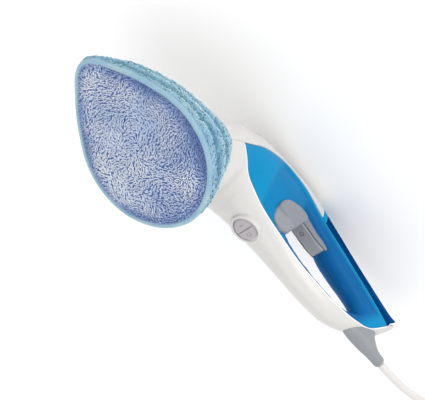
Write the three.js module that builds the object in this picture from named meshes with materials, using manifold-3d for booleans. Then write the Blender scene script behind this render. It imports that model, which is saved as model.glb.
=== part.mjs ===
// Handheld garment steamer with a cloth bonnet stretched over its steam head, lying on its back.
// Design axes, in millimetres: X runs from the tip of the head to the end of the handle, Y is across,
// and Z points the way the steam plate faces. The exported group moves them so that the origin is the
// centre of the flat land on the back cover, on which the steamer lies.
import * as THREE from "three";
import { mergeVertices } from "three/addons/utils/BufferGeometryUtils.js";
import Module from "manifold-3d";

const wasm = await Module();
wasm.setup();

// ---- driving dimensions ----
const WALL = 2.4; // moulded casing
const GAP = 0.3; // between neighbouring pieces
const HEAD_TIP = { x: 4.8, z: 79.3 }; // tip of the bonnet's face
const HEAD_TILT = THREE.MathUtils.degToRad(13.3); // the face rises towards the handle
const HEAD_SEAT = -12; // height of the casing's rim below the bonnet's face
const BODY_START = 14;
const BODY_END = 369;
const SECTION_POWER = { front: 2.5, back: 2 }; // superellipse powers of the casing's cross-section
const LAND = { x0: 196, x1: 246, halfWidth: 9, z: -26 };
const TANK = {
  start: 252, collarEnd: 258, waterEnd: 349, end: 361, wall: 1.8, notchEnd: 272, notchHalf: 9, notchZ: -12.4,
};
const DOOR = { start: 329.3, cheekStart: 352.3, end: 366.8, thickness: 2.2, belowLeaf: 5 };
const DOOR_HINGE = { x: 365, z: 15.2, pinRadius: 1.2 };
const TRIGGER = { pivotX: 241, pivotZ: 13, halfWidth: 7.1, pinRadius: 1.5 };
const PUMP = { x: 258, bore: 4.3, radius: 6 };
const ROCKER = { x: 202, z: 70.2, radius: 10, ringInner: 10.5, ringOuter: 12.8, oval: 1.15 };
const CORD_RADIUS = 3.5; // a lead of 2.4 m
const COIL = { x: 540, y: 52.5, middle: 42, halfWidth: 14.6, low: -26, high: -10.6 };
const PLUG = { x: 541.5, y: 12.5, turn: 36, low: -10.2, thickness: 15.5, length: 36, width: 34 };

// Smooth curve through a few knots [x, value], as a function of x.
function smooth(knots) {
  const slopes = knots.slice(1).map(([x, v], i) => (v - knots[i][1]) / (x - knots[i][0]));
  const tangents = knots.map((knot, i) => {
    if (i === 0) return slopes[0];
    if (i === knots.length - 1) return slopes[i - 1];
    const before = knot[0] - knots[i - 1][0];
    const after = knots[i + 1][0] - knot[0];
    return (slopes[i - 1] * after + slopes[i] * before) / (before + after);
  });
  return (x) => {
    const t = THREE.MathUtils.clamp(x, knots[0][0], knots[knots.length - 1][0]);
    const i = Math.max(0, Math.min(knots.length - 2, knots.findIndex((k) => k[0] >= t) - 1));
    const span = knots[i + 1][0] - knots[i][0];
    const s = (t - knots[i][0]) / span;
    const rise = s * s * (3 - 2 * s);
    const lean = tangents[i] * span * s * (1 - s) ** 2 - tangents[i + 1] * span * s * s * (1 - s);
    return knots[i][1] * (1 - rise) + knots[i + 1][1] * rise + lean;
  };
}

// ---- the casing's shape: its back line, its front line and its half width along X ----
const backLine = smooth([
  [14, 65.6], [50, 48.3], [80, 36], [105, 22.5], [134, 2.5], [156, -11.5], [180, -20],
  [205, -24.4], [225, -25.8], [252, -22.2], [270, -17], [289, -11], [310, -4.6], [329, 1], [350, 7],
  [369, 13],
]);
const neckFront = smooth([
  [140, 101], [150, 98], [156, 90], [161, 76], [168, 70], [180, 68.5], [205, 69.5], [233, 72.5],
  [252, 75], [289, 77], [309, 74.5], [323, 68], [335, 60], [350, 48], [360, 36], [369, 20.5],
]);
const halfWidth = smooth([
  [14, 10], [20, 17], [35, 31], [50, 41], [80, 53], [105, 52], [125, 47], [140, 41], [155, 36],
  [180, 30], [205, 26], [233, 22], [252, 19], [290, 16.5], [330, 13.4],
  [350, 10.9], [362, 9.4], [366, 8.9], [369, 5.5],
]);
const headBlend = (x) => THREE.MathUtils.smoothstep(x, 120, 140);
const seatLine = (x) =>
  HEAD_TIP.z + (x - HEAD_TIP.x) * Math.tan(HEAD_TILT) + HEAD_SEAT / Math.cos(HEAD_TILT);

function frontLine(x) {
  const head = 2 * seatLine(x) - backLine(x); // widest at the seat of the head
  const w = headBlend(x);
  return (1 - w) * head + w * neckFront(Math.max(x, 140));
}

// ---- the leaf-shaped grip panel's edges and the finger hole, seen from the side ----
const leafFront = smooth([
  [146.4, 39.3], [156.7, 47.3], [186, 55.7], [224, 60.8], [274, 64.4],
  [300, 63.9], [331, 55.6], [346.5, 46.5], [360.4, 28.6],
]);
const leafBack = smooth([
  [146.4, 39.3], [163.9, 17.7], [180, 3.5], [200, -6.6], [215, -6.9],
  [244, -0.5], [302, 12.9], [340, 23.3], [360.4, 28.6],
]);
const LEAF_TIP = [146.4, 39.3];
const LEAF_END = [360.4, 28.6];
const HOLE = [
  [238.5, 9], [256, 15.2], [268, 18.4], [280, 25], [298, 31], [314, 35.2], [324, 39.5],
  [328, 45.5], [323.5, 52], [310, 58.8], [285, 61.2], [252, 58.6], [228, 53.9], [233, 43],
];

// Where the casing in front meets the tank behind it, past the leaf's lower corner.
const HANDLE_END = [[366.5, 21], [370, 17.8], [380, 14]];
const tankLine = (x) => (x < LEAF_END[0] ? leafBack(x) : smooth([LEAF_END, ...HANDLE_END])(x));

// ---- solids ----
function outward(positions, triangles) {
  let volume = 0;
  const p = (i) => new THREE.Vector3().fromArray(positions, 3 * i);
  for (let i = 0; i < triangles.length; i += 3)
    volume += p(triangles[i]).dot(p(triangles[i + 1]).cross(p(triangles[i + 2])));
  if (volume < 0)
    for (let i = 0; i < triangles.length; i += 3)
      [triangles[i + 1], triangles[i + 2]] = [triangles[i + 2], triangles[i + 1]];
  return new THREE.BufferGeometry()
    .setAttribute("position", new THREE.Float32BufferAttribute(positions, 3))
    .setIndex(triangles);
}

// Closed skin over rings of equally many points, capped at both ends or joined into a loop.
function loft(rings, looped = false) {
  const n = rings[0].length;
  const positions = rings.flat().flatMap((v) => v.toArray());
  const triangles = [];
  const last = looped ? rings.length : rings.length - 1;
  for (let i = 0; i < last; i++) {
    const a = i * n;
    const b = ((i + 1) % rings.length) * n;
    for (let k = 0; k < n; k++) {
      const m = (k + 1) % n;
      triangles.push(a + k, b + k, b + m, a + k, b + m, a + m);
    }
  }
  if (!looped)
    [0, rings.length - 1].forEach((i) => {
      const centre = rings[i].reduce((sum, v) => sum.add(v), new THREE.Vector3()).divideScalar(n);
      const c = positions.length / 3;
      positions.push(...centre.toArray());
      for (let k = 0; k < n; k++) {
        const m = (k + 1) % n;
        if (i === 0) triangles.push(c, i * n + k, i * n + m);
        else triangles.push(c, i * n + m, i * n + k);
      }
    });
  return outward(positions, triangles);
}

function solid(geometry) {
  const bare = geometry.clone();
  bare.deleteAttribute("normal");
  bare.deleteAttribute("uv");
  const merged = mergeVertices(bare, 1e-4);
  return new wasm.Manifold(
    new wasm.Mesh({
      numProp: 3,
      vertProperties: new Float32Array(merged.attributes.position.array),
      triVerts: new Uint32Array(merged.index.array),
    }),
  );
}

function geometryOf(manifold) {
  const mesh = manifold.simplify(0.03).getMesh(); // without the slivers that cutting leaves
  const geometry = new THREE.BufferGeometry()
    .setAttribute("position", new THREE.BufferAttribute(mesh.vertProperties, 3))
    .setIndex(new THREE.BufferAttribute(mesh.triVerts, 1));
  geometry.computeVertexNormals();
  return geometry;
}

const shapeOf = (points) => new THREE.Shape(points.map(([x, y]) => new THREE.Vector2(x, y)));

// A side outline [x, z] made into a slab between two heights of Y.
function slab(outline, y0, y1) {
  const geometry = new THREE.ExtrudeGeometry(shapeOf(outline), { depth: y1 - y0, bevelEnabled: false });
  return solid(geometry.rotateX(Math.PI / 2).translate(0, y1, 0));
}

// A cross outline [y, z] made into a bar between two heights of X.
function crossSlab(outline, x0, x1) {
  const geometry = new THREE.ExtrudeGeometry(shapeOf(outline), { depth: x1 - x0, bevelEnabled: false });
  const turn = new THREE.Matrix4().set(0, 0, 1, x0, 1, 0, 0, 0, 0, 1, 0, 0, 0, 0, 0, 1);
  return solid(geometry.applyMatrix4(turn));
}

const volumeOf = (s) => s.volume();
const largest = (s) => s.decompose().sort((a, b) => volumeOf(b) - volumeOf(a))[0];

function block(x0, x1, y0, y1, z0, z1) {
  const geometry = new THREE.BoxGeometry(x1 - x0, y1 - y0, z1 - z0);
  return solid(geometry.translate((x0 + x1) / 2, (y0 + y1) / 2, (z0 + z1) / 2));
}

// A round bar along X, Y or Z.
function bar(axis, radius, from, length, sides = 16) {
  const geometry = new THREE.CylinderGeometry(radius, radius, length, sides);
  if (axis === "x") geometry.rotateZ(-Math.PI / 2);
  if (axis === "z") geometry.rotateX(Math.PI / 2);
  const middle = { x: [length / 2, 0, 0], y: [0, length / 2, 0], z: [0, 0, length / 2] }[axis];
  return geometry.translate(from[0] + middle[0], from[1] + middle[1], from[2] + middle[2]);
}

// A round solid about a Z axis, from its profile [radius, z].
function turned(profile, sides = 20) {
  const points = profile.map(([r, z]) => new THREE.Vector2(r, z));
  return new THREE.LatheGeometry(points, sides).rotateX(Math.PI / 2);
}

function tube(points, radius, sides, steps) {
  const path = new THREE.CatmullRomCurve3(points.map((p) => new THREE.Vector3(...p)), false, "centripetal");
  const corner = (k) => (2 * Math.PI * k) / sides;
  const section = Array.from({ length: sides }, (_, k) => [
    radius * Math.cos(corner(k)),
    radius * Math.sin(corner(k)),
  ]);
  return new THREE.ExtrudeGeometry(shapeOf(section), { steps, extrudePath: path, bevelEnabled: false });
}

const power = (c, n) => Math.sign(c) * Math.abs(c) ** (2 / n);

// The casing's full outer form, drawn in by inset.
function casing(inset, start = BODY_START + inset, end = BODY_END - inset) {
  const steps = 28;
  const around = 24;
  const rings = Array.from({ length: steps + 1 }, (_, i) => {
    const x = start + ((end - start) * i) / steps;
    const z0 = backLine(x) + inset;
    const z1 = frontLine(x) - inset;
    const b = halfWidth(x) - inset;
    return Array.from({ length: around }, (_, k) => {
      const a = (2 * Math.PI * k) / around;
      const n = Math.sin(a) < 0 ? SECTION_POWER.back : SECTION_POWER.front;
      const high = ((z1 - z0) / 2) * power(Math.sin(a), n);
      return new THREE.Vector3(x, b * power(Math.cos(a), n), (z0 + z1) / 2 + high);
    });
  });
  return solid(loft(rings));
}

const sampled = (f, x0, x1, count) =>
  Array.from({ length: count + 1 }, (_, i) => {
    const x = x0 + ((x1 - x0) * i) / count;
    return [x, f(x)];
  });

// The leaf as a slab through the whole casing, drawn in by inset.
function leafSlab(inset) {
  const x0 = LEAF_TIP[0] + inset;
  const x1 = LEAF_END[0] - inset;
  const front = sampled((x) => leafFront(x) - inset, x0, x1, 18);
  const back = sampled((x) => leafBack(x) + inset, x0, x1, 18).reverse();
  return slab([...front, ...back.slice(1, -1)], -60, 60);
}

// An outline moved outwards; each point may take its own share of the move.
function grown(outline, by, shareOf = () => 1) {
  const n = outline.length;
  const centre = outline.reduce((s, [x, z]) => [s[0] + x / n, s[1] + z / n], [0, 0]);
  return outline.map((p, i) => {
    const a = outline[(i + n - 1) % n];
    const b = outline[(i + 1) % n];
    const normal = new THREE.Vector2(b[1] - a[1], a[0] - b[0]).normalize();
    if (normal.dot(new THREE.Vector2(p[0] - centre[0], p[1] - centre[1])) < 0) normal.negate();
    const reach = by * shareOf(p);
    return [p[0] + normal.x * reach, p[1] + normal.y * reach];
  });
}

// The finger hole, flared towards both sides: widely on the grip, hardly at all on the front leg.
function holeTool() {
  const flareAt = ([, z]) => (z > 45 ? 0.15 : 1);
  const levels = [[-30, 8], [-18, 8], [-13.5, 3], [-9, 0], [9, 0], [13.5, 3], [18, 8], [30, 8]];
  const rings = levels.map(([y, by]) => grown(HOLE, by, flareAt).map(([x, z]) => new THREE.Vector3(x, y, z)));
  return solid(loft(rings));
}

// ---- the scene graph ----
const steamer = new THREE.Group();
steamer.position.set(-(LAND.x0 + LAND.x1) / 2, 0, -LAND.z);
const head = new THREE.Group();
head.position.set(HEAD_TIP.x, 0, HEAD_TIP.z);
head.rotation.y = -HEAD_TILT;
steamer.add(head);

const finish = (color, roughness, metalness = 0) =>
  new THREE.MeshStandardMaterial({ color, roughness, metalness });
const white = finish("#e6e4e2", 0.35);
const blue = finish("#1b79bf", 0.3);
const cyan = finish("#35b4dd", 0.25);
const navy = finish("#0b3c7d", 0.1);
const lightGrey = finish("#9a9ea6", 0.45);
const darkGrey = finish("#70767e", 0.5);
const rockerGrey = finish("#b9b4b8", 0.4);
const terry = finish("#8fa3d2", 1);
const cotton = finish("#a9d0e0", 1);
const aluminium = finish("#b8babd", 0.4, 1);
const steel = finish("#c4c6c8", 0.3, 1);
const rubber = finish("#4a4d52", 0.8);
const ceramic = finish("#e9e6dc", 0.7);
const copper = finish("#b06a3a", 0.4, 1);

function part(name, geometry, material, group = steamer) {
  const mesh = new THREE.Mesh(geometry instanceof wasm.Manifold ? geometryOf(geometry) : geometry, material);
  mesh.name = name;
  group.add(mesh);
  return mesh;
}

// ---- casings ----
const outer = casing(0);
const inner = casing(WALL, BODY_START + WALL, BODY_END - 8);
const shell = outer.subtract(inner);
const seatPlane = [
  [-20, seatLine(-20)], [170, seatLine(170)], [170, 200], [-20, 200],
];
const aboveSeat = slab(seatPlane, -80, 80);

// Everything behind the seam that runs from the head along the leaf's back edge.
const seam = [[107, 110], [118, 80], [131.7, 59.2], [138.8, 49.1]];
const behindSeam = (shift) =>
  slab(
    [
      ...seam.map(([x, z]) => [x - shift, z - shift]),
      ...sampled((x) => leafBack(x) - shift, LEAF_TIP[0], TANK.start - shift, 14),
      [TANK.start - shift, -60], [-20, -60], [-20, 110],
    ],
    -80,
    80,
  );
// Everything in front of the seam and of the leaf's front edge, round to the end of the handle.
const beforeSeam = slab(
  [
    ...seam,
    ...sampled(leafFront, LEAF_TIP[0], LEAF_END[0], 18),
    ...HANDLE_END, [380, 130], [107, 130],
  ],
  -80,
  80,
);

const screwSpots = [[172, 30, 18.2], [215, 12, 17.6], [346, 37, 9.2]]; // x, z and depth of the head
const screwHole = ([x, z], radius) => solid(bar("y", radius, [x, -45, z], 45, 12));

const LEAD_IN = [
  [374.4, 0, 60.8], [362, 0, 59.6], [350, 0, 58.6], [338, 0, 59.2], [327, 0, 61.4], [314, 0, 63.8],
  [304.5, 0, 65.2],
];
const cordHole = solid(tube([[380, 0, 61.2], ...LEAD_IN], CORD_RADIUS + GAP + 0.1, 12, 14));

// The rocker and its ring are drawn round the Z axis, then made a little longer than wide.
const atRocker = (geometry) => geometry.scale(ROCKER.oval, 1, 1).translate(ROCKER.x, 0, 0);

function frontHousing() {
  const rockerHole = solid(atRocker(bar("z", ROCKER.ringOuter + GAP, [0, 0, 58], 30, 24)));
  const rest = shell.intersect(beforeSeam).subtract(aboveSeat).subtract(holeTool());
  return largest(rest.subtract(rockerHole).subtract(cordHole));
}

function backCover() {
  const land = block(LAND.x0, LAND.x1, -LAND.halfWidth, LAND.halfWidth, LAND.z, LAND.z + 5);
  return largest(shell.intersect(behindSeam(GAP)).subtract(aboveSeat).add(land.subtract(inner)));
}

part("front_housing", frontHousing(), white);
part("back_cover", backCover(), white);

// ---- hood and trigger ----
const HOOD_SIDE = [
  [207.5, 44], [208, 36], [213, 29.5], [222, 24.8], [236.5, 21.5], [238.2, 25], [233, 43],
  [228, 55.5], [220, 57.5], [212, 54.5],
];
const BEZEL_SIDE = [
  [233.5, 7], [233.5, 24], [237.6, 24], [240, 17.6], [269, 21.8], [273, 21.4], [274.8, 18.5], [275.2, 13],
];
const bezelHalf = 8.9;

function triggerHood() {
  // the cheeks slope inwards from a crease towards the front leg
  const slope = [[22.5, 44.5], [45, 44.5], [45, 70], [17.5, 70], [17.5, 60]];
  const slopes = crossSlab(slope, 190, 250).add(crossSlab(slope.map(([y, z]) => [-y, z]), 190, 250));
  const cap = casing(-0.8).intersect(slab(HOOD_SIDE, -40, 40));
  const hollow = block(200, 230.5, -15, 15, 15, 50);
  const bezel = slab(BEZEL_SIDE, -bezelHalf, bezelHalf);
  const opening = block(238.2, 273.4, -TRIGGER.halfWidth - 0.5, TRIGGER.halfWidth + 0.5, 0, 40);
  const pinHole = solid(bar("y", TRIGGER.pinRadius + 0.06, [TRIGGER.pivotX, -20, TRIGGER.pivotZ], 40, 12));
  return cap.subtract(slopes).subtract(hollow).add(bezel).subtract(opening).subtract(pinHole);
}

part("trigger_hood", triggerHood(), lightGrey);

function trigger() {
  const side = [
    [239, 17], [242, 17.9], [255, 20], [268, 22.2], [271.6, 21.6], [272.6, 18.5],
    [272.2, 12.6], [264, 11], [262, 9], [254, 9], [252, 10.4], [239.8, 8.6], [238.9, 12],
  ];
  const pinHole = solid(bar("y", TRIGGER.pinRadius + 0.06, [TRIGGER.pivotX, -20, TRIGGER.pivotZ], 40, 12));
  return slab(side, -TRIGGER.halfWidth, TRIGGER.halfWidth).subtract(pinHole);
}
part("trigger", trigger(), darkGrey);
const pinLength = 2 * bezelHalf - 0.8;
part(
  "trigger_pin",
  bar("y", TRIGGER.pinRadius, [TRIGGER.pivotX, -pinLength / 2, TRIGGER.pivotZ], pinLength, 12),
  steel,
);

// ---- grip panels ----
function gripPanels() {
  const hoodRoom = casing(-2)
    .intersect(slab(grown(HOOD_SIDE, GAP + 0.1), -45, 45))
    .add(slab(grown(BEZEL_SIDE, GAP + 0.1), -bezelHalf - GAP, bezelHalf + GAP));
  const tunnel = slab(grown(HOLE, 2.2), -60, 60);
  const cavity = casing(2.9, BODY_START, BODY_END - 7).intersect(leafSlab(2.6)).subtract(tunnel);
  const passage = block(100, 226, -14, 14, -30, 70);
  const pumpRoom = block(247, 273, -8.4, 8.4, -30, 14); // the key and the pump under it
  const both = casing(0.6, BODY_START, BODY_END - 4)
    .intersect(leafSlab(GAP))
    .subtract(cavity)
    .subtract(holeTool())
    .subtract(hoodRoom)
    .subtract(passage)
    .subtract(pumpRoom)
    .subtract(cordHole);
  return [1, -1].map((side) => {
    const [near, far] = [0.15 * side, 60 * side];
    return largest(both.intersect(block(100, 400, Math.min(near, far), Math.max(near, far), -60, 120)));
  });
}
const [leftPanel, rightPanel] = gripPanels();
const rightDrilled = screwSpots.reduce((panel, spot) => panel.subtract(screwHole(spot, 2.9)), rightPanel);
part("left_grip_panel", leftPanel, blue);
part("right_grip_panel", rightDrilled, blue);

// ---- water tank, its collar and the filler door ----
function belowLeaf(x0, x1, drop) {
  // corners at shared stations, so that neighbouring pieces keep their gap
  const stations = Array.from({ length: 32 }, (_, i) => LEAF_END[0] + 4 * (i - 28));
  const line = [x0, ...stations.filter((x) => x > x0 && x < x1), x1].map((x) => [x, tankLine(x) - drop]);
  return slab([...line, [x1, -60], [x0, -60]], -40, 40);
}
function notch(grow) {
  const half = TANK.notchHalf + grow;
  return block(TANK.start - 5, TANK.notchEnd + grow, -half, half, TANK.notchZ - grow, 40);
}
const fillerMouth = { x: 345, radius: 6 };

// The two ears that hold the door's hinge pin; grown and run on, the room they need in the door.
function hingeEars(grow, runOn = 0) {
  const { x, z } = DOOR_HINGE;
  const [first, last] = [357 - grow, x + 2 + grow + runOn];
  const [low, high] = [z - 2.2 - grow - runOn, z + 2.4 + grow + 1.5 * runOn];
  const ear = (y) => block(first, last, y - grow, y + 2 + grow, low, high);
  return ear(3.6).add(ear(-5.6)).intersect(casing(-grow - runOn));
}

function waterTank() {
  const doorGap = GAP + 0.15; // a little more, since the door turns
  const body = outer.intersect(belowLeaf(TANK.collarEnd, TANK.end, GAP)).subtract(notch(0));
  const around = casing(-1, BODY_START, BODY_END);
  const doorRoom = around
    .subtract(casing(DOOR.thickness + doorGap, BODY_START, BODY_END))
    .intersect(belowLeaf(DOOR.start - doorGap, DOOR.end + 1, DOOR.belowLeaf - doorGap));
  // the door's cheeks beside its hinge swing inwards a little as it opens
  const cheekRoom = around
    .subtract(casing(DOOR.thickness + doorGap + 2, BODY_START, BODY_END))
    .intersect(belowLeaf(DOOR.cheekStart, DOOR.end + 1, DOOR.belowLeaf - doorGap));
  const knuckleRoom = block(DOOR_HINGE.x - 3, DOOR_HINGE.x + 9, -3.5, 3.5, -20, 40);
  const roomBefore = casing(TANK.wall, BODY_START, BODY_END - 6).intersect(
    belowLeaf(TANK.collarEnd + TANK.wall, DOOR.start - 3, GAP + TANK.wall),
  );
  const deeper = DOOR.thickness + GAP + TANK.wall;
  const roomBehind = casing(deeper, BODY_START, BODY_END - 8).intersect(
    belowLeaf(DOOR.start - 4, TANK.waterEnd, GAP + TANK.wall),
  );
  const water = largest(roomBefore.add(roomBehind).subtract(notch(TANK.wall)));
  const mouth = solid(bar("z", fillerMouth.radius, [fillerMouth.x, 0, -8], 20, 20));
  const pinHole = solid(bar("y", DOOR_HINGE.pinRadius + 0.06, [DOOR_HINGE.x, -10, DOOR_HINGE.z], 20, 12));
  const wet = body.subtract(doorRoom).subtract(cheekRoom).subtract(water).subtract(knuckleRoom);
  return largest(wet.add(hingeEars(0)).subtract(mouth).subtract(pinHole));
}
part("water_tank", waterTank(), navy);
part(
  "tank_collar",
  outer.intersect(belowLeaf(TANK.start + GAP, TANK.collarEnd - GAP, GAP)).subtract(notch(0)),
  cyan,
);

function fillerDoor() {
  const skin = outer
    .subtract(casing(DOOR.thickness, BODY_START, BODY_END))
    .intersect(belowLeaf(DOOR.start, DOOR.end, DOOR.belowLeaf))
    .subtract(hingeEars(GAP, 2));
  const knuckle = solid(bar("y", 2.4, [DOOR_HINGE.x, -3.2, DOOR_HINGE.z], 6.4, 14));
  const web = block(DOOR_HINGE.x - 2, DOOR_HINGE.x + 2, -3.2, 3.2, DOOR_HINGE.z - 4.6, DOOR_HINGE.z);
  const pinHole = solid(bar("y", DOOR_HINGE.pinRadius + 0.06, [DOOR_HINGE.x, -10, DOOR_HINGE.z], 20, 12));
  return skin.add(knuckle).add(web.intersect(outer)).subtract(pinHole);
}
part("filler_door", fillerDoor(), navy);
part("filler_hinge_pin", bar("y", DOOR_HINGE.pinRadius, [DOOR_HINGE.x, -5.7, DOOR_HINGE.z], 11.4, 12), steel);
const stopper = solid(bar("z", 4.9, [fillerMouth.x, 0, -5], backLine(fillerMouth.x) + 11, 18));
part("filler_plug", stopper.intersect(casing(DOOR.thickness + GAP, BODY_START, BODY_END)), rubber);

// ---- pump ----
const pumpTop = -1;
part(
  "pump_cylinder",
  turned([
    [0, -10.6], [PUMP.radius, -10.6], [PUMP.radius, pumpTop], [PUMP.bore, pumpTop], [PUMP.bore, -8.4],
    [0, -8.4],
  ]).translate(PUMP.x, 0, 0),
  ceramic,
);
part(
  "pump_piston",
  turned([[0, -3.6], [4, -3.6], [4, -1.6], [2.2, -1.6], [2.2, 6.2], [6, 6.2], [6, 8.6], [0, 8.6]])
    .translate(PUMP.x, 0, 0),
  lightGrey,
);
function pumpSpring() {
  const turns = 3;
  const points = Array.from({ length: turns * 10 + 1 }, (_, i) => {
    const a = (2 * Math.PI * i) / 10;
    const z = -0.1 + (5.6 * i) / (turns * 10);
    return [PUMP.x + 4.7 * Math.cos(a), 4.7 * Math.sin(a), z];
  });
  return tube(points, 0.45, 5, turns * 12);
}
part("pump_spring", pumpSpring(), steel);
part("suction_tube", tube([[270.9, 0, -6.6], [268, 0, -6.6], [264.5, 0, -6.6]], 2, 8, 2), ceramic);
part(
  "feed_tube",
  tube([
    [251.5, 0, -6.6], [238, 0, -8], [215, 0, -4], [190, 0, 12], [166, 0, 36], [146, 0, 60], [136.5, 0, 73],
  ], 2, 8, 16),
  ceramic,
);

// ---- power switch ----
part(
  "rocker_bezel",
  atRocker(turned([
    [ROCKER.ringInner, 62], [ROCKER.ringOuter, 62], [ROCKER.ringOuter, 70.4], [ROCKER.ringOuter - 0.9, 71.2],
    [ROCKER.ringInner + 0.5, 71.2], [ROCKER.ringInner, 70.7], [ROCKER.ringInner, 62],
  ], 28)),
  white,
);
part(
  "power_rocker",
  atRocker(turned([
    [0, 66.4], [ROCKER.radius - 0.6, 66.4], [ROCKER.radius, 69.8], [ROCKER.radius - 0.8, 70.8], [0, 71.2],
  ], 28)),
  rockerGrey,
);
part("switch_body", new THREE.BoxGeometry(14, 14, 9.4).translate(ROCKER.x, 0, 56.8), rubber);

// ---- cord entry ----
const bootRings = [
  // centre x, centre z, half height, half width, lean of the ring
  [340, 50.6, 20.4, 8, 0.85],
  [343.5, 53.2, 17.5, 8.5, 0.8],
  [349, 55.6, 13, 8.4, 0.66],
  [355, 57.4, 9.2, 7.6, 0.46],
  [361, 58.9, 6.6, 6.2, 0.26],
  [367, 60, 5.4, 5.3, 0.12],
  [373.6, 60.7, 4.9, 4.9, 0.05],
];
function boot() {
  const around = 18;
  const rings = bootRings.map(([x, z, high, wide, lean]) =>
    Array.from({ length: around }, (_, k) => {
      const a = (2 * Math.PI * k) / around;
      const up = high * Math.sin(a);
      return new THREE.Vector3(x - up * Math.sin(lean), wide * Math.cos(a), z + up * Math.cos(lean));
    }),
  );
  return largest(solid(loft(rings)).subtract(casing(-GAP)).subtract(cordHole));
}
part("strain_relief", boot(), lightGrey);
part("cord_lead_in", tube(LEAD_IN, CORD_RADIUS, 10, 12), white);
part("cord_clamp", block(305.5, 310.5, -5, 5, 63.3, 69.6).subtract(cordHole), darkGrey);
part("terminal_block", block(290, 303.6, -5.4, 5.4, 65, 70.6), ceramic);
const wireRun = (y) => [[289.6, y, 68], [270, y, 70], [240, y, 67.6], [222, y, 62], [209.6, y, 57]];
part("live_wire", tube(wireRun(3), 1.1, 8, 10), copper);
part("neutral_wire", tube(wireRun(-3), 1.1, 8, 10), copper);
part(
  "heater_wire",
  tube([[194.4, 0, 56], [184, 0, 52], [172, 5, 57], [160, 8, 66], [150, 8, 74]], 1.1, 8, 10),
  copper,
);

screwSpots.forEach(([x, z, depth], i) => {
  const geometry = turned([[0, 0], [2.5, 0], [2.5, 1.8], [1.2, 1.8], [1.2, 8], [0, 8]], 12);
  part(`panel_screw_${i + 1}`, geometry.rotateX(-Math.PI / 2).translate(x, -depth, z), steel);
});

// ---- steam head, in the head's own axes: X from tip to heel, Z out of the steam plate ----
const OUTLINE = [
  [0, 0], [5, 13], [18.6, 26.2], [34, 39], [50, 49.2], [65, 57], [81, 61.4], [96.5, 61.8],
  [112, 59], [128, 51.3], [143, 37.4], [153, 20], [157, 0],
];
const HEM = [
  [4, 0, -11], [13, 16, -13.5], [30, 34, -18.5], [60, 49, -27], [95, 54.5, -36], [116, 52.5, -41.5],
  [128, 45, -40.5], [140, 30, -27.7], [146.4, 15, -19.4], [149.5, 0, -15.5],
];

function closedCurve(half) {
  const points = half.map((p) => new THREE.Vector3(p[0], p[1], p[2] ?? 0));
  const mirrored = points.slice(1, -1).reverse().map((p) => new THREE.Vector3(p.x, -p.y, p.z));
  return new THREE.CatmullRomCurve3([...points, ...mirrored], true, "centripetal");
}

// Points round the head's outline, drawn in by inset, at a height.
function headRing(inset, height, count = 44) {
  const curve = closedCurve(OUTLINE);
  return Array.from({ length: count }, (_, i) => {
    const t = i / count;
    const p = curve.getPointAt(t);
    const along = curve.getTangentAt(t);
    return new THREE.Vector3(p.x + along.y * inset, p.y - along.x * inset, height);
  });
}

const disc = (inset, z0, z1, count) => loft([headRing(inset, z0, count), headRing(inset, z1, count)]);
const band = (outside, inside, z0, z1, count) =>
  loft([headRing(outside, z0, count), headRing(outside, z1, count), headRing(inside, z1, count),
    headRing(inside, z0, count)], true);

part("bonnet_face", loft([headRing(3.9, -4), headRing(3.9, -1.4), headRing(7, -0.2)]), terry, head);
part(
  "bonnet_binding",
  loft([0, 1, 2, 3, 4, 5].map((k) => {
    const a = (2 * Math.PI * k) / 6;
    return headRing(1.8 - 1.8 * Math.cos(a), -2.6 + 2.3 * Math.sin(a));
  }), true),
  cotton,
  head,
);

function bonnetSkirt() {
  const count = 44;
  const hem = closedCurve(HEM);
  const top = headRing(1, -5.4, count);
  const topIn = headRing(3.4, -5.4, count);
  const low = Array.from({ length: count }, (_, i) => hem.getPointAt(i / count));
  const lowIn = low.map((p) => new THREE.Vector3(77 + (p.x - 77) * 0.965, p.y * 0.95, p.z));
  const between = (a, b, t, bulge) =>
    a.map((p, i) => {
      const q = p.clone().lerp(b[i], t);
      return new THREE.Vector3(77 + (q.x - 77) * bulge, q.y * bulge, q.z);
    });
  return loft([top, between(top, low, 0.5, 1.03), low, lowIn, between(topIn, lowIn, 0.5, 1.03), topIn], true);
}
head.updateMatrix();
const toHead = head.matrix.clone().invert().elements;
const hugged = casing(-0.4).transform(Array.from(toHead));
part("bonnet_skirt", largest(solid(bonnetSkirt()).subtract(hugged)), cotton, head);

function solePlate() {
  const rows = [[30, 18, 3], [55, 34, 4], [85, 44, 5], [115, 34, 4]]; // x, half spread, holes
  let plate = solid(disc(4.4, -7.7, -4.7, 44));
  rows.forEach(([x, spread, holes]) => {
    for (let k = 0; k < holes; k++) {
      const y = -spread + (2 * spread * k) / (holes - 1);
      plate = plate.subtract(solid(bar("z", 1.6, [x - Math.abs(y) * 0.15, y, -9], 6, 8)));
    }
  });
  return plate;
}
part("sole_plate", solePlate(), aluminium, head);
part("sole_frame", band(7.5, 12.5, -11.7, -8, 40), darkGrey, head);
part("steam_gasket", band(14, 17, -9.4, -8, 36), rubber, head);
part("boiler_casting", disc(22, -17.6, -9.8, 32), aluminium, head);
part("boiler_lid", disc(23, -20.2, -17.9, 32), aluminium, head);

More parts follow.
